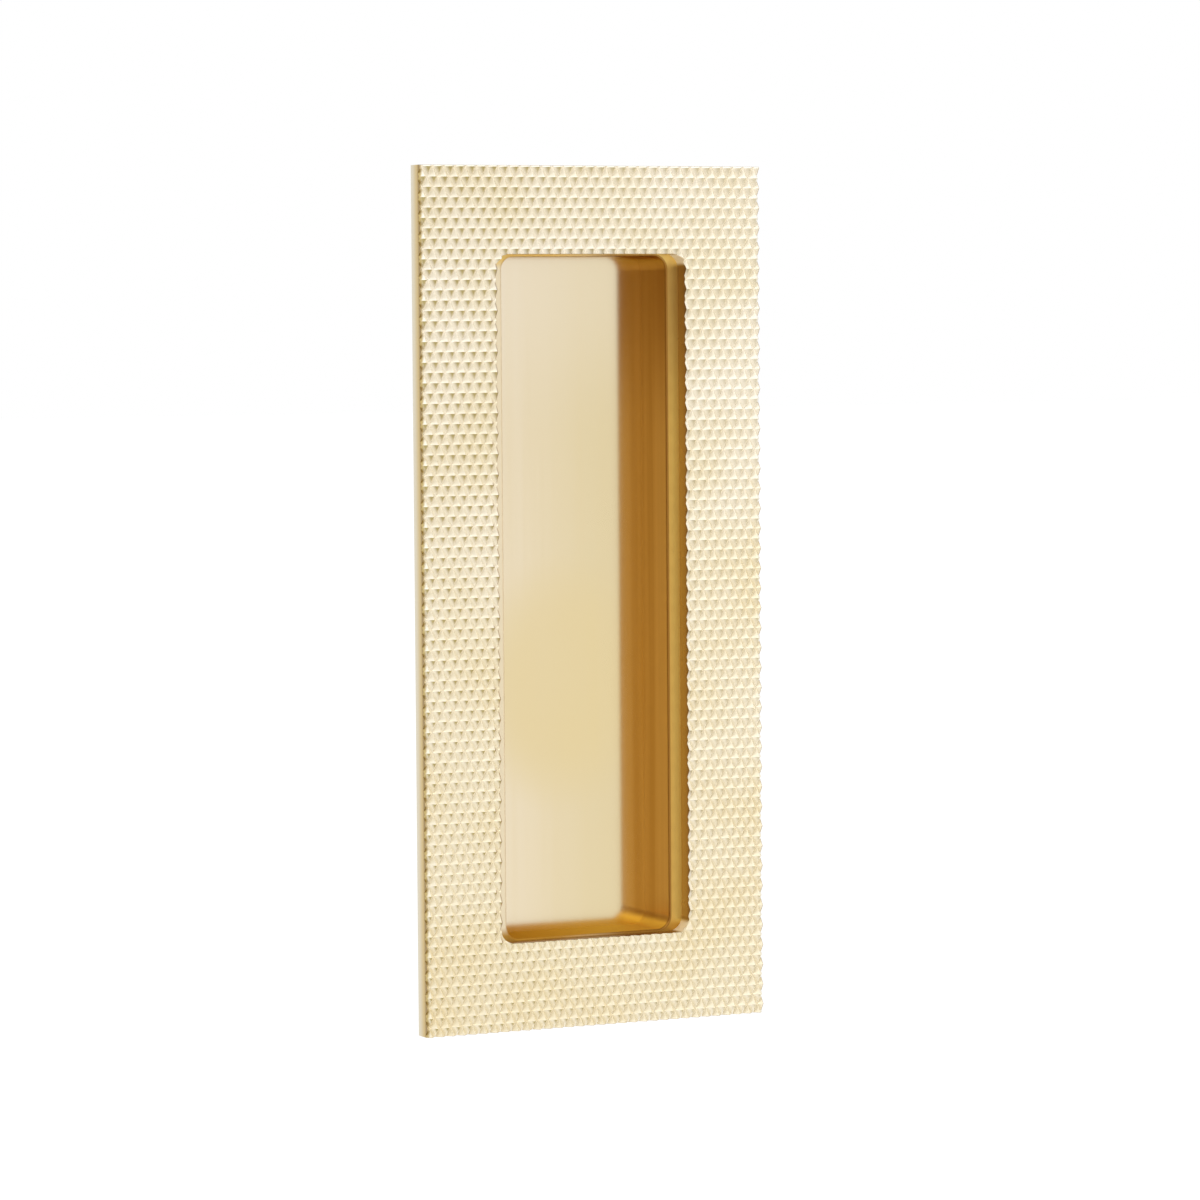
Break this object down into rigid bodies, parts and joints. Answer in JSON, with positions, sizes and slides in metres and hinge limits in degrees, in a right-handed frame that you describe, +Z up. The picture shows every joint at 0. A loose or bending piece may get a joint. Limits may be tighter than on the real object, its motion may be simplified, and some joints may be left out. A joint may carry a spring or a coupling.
{
  "type": "flush pull",
  "caption": "Rectangular brass flush pull for a sliding or pocket door: a diamond-knurled face plate around a smooth recessed finger cup, fixed from behind.",
  "frame": {"origin": "centre of the face plate's rear face, in the plane of the door's surface, midway between the two fixing posts", "axes": "+Z up along the plate's long side, +X across the plate, +Y into the door; the knurled front faces -Y"},
  "size_m": [0.0666, 0.0151, 0.1524],
  "materials": {
    "knurled_brass": "knurled, satin",
    "polished_brass": "polished",
    "screw_brass": "machined",
    "turned_brass": "turned"
  },
  "bodies": {
    "root": {"face_plate": "knurled_brass", "pull_cup": "polished_brass", "cup_screws": "screw_brass", "fixing_posts": "turned_brass"}
  },
  "joints": []
}
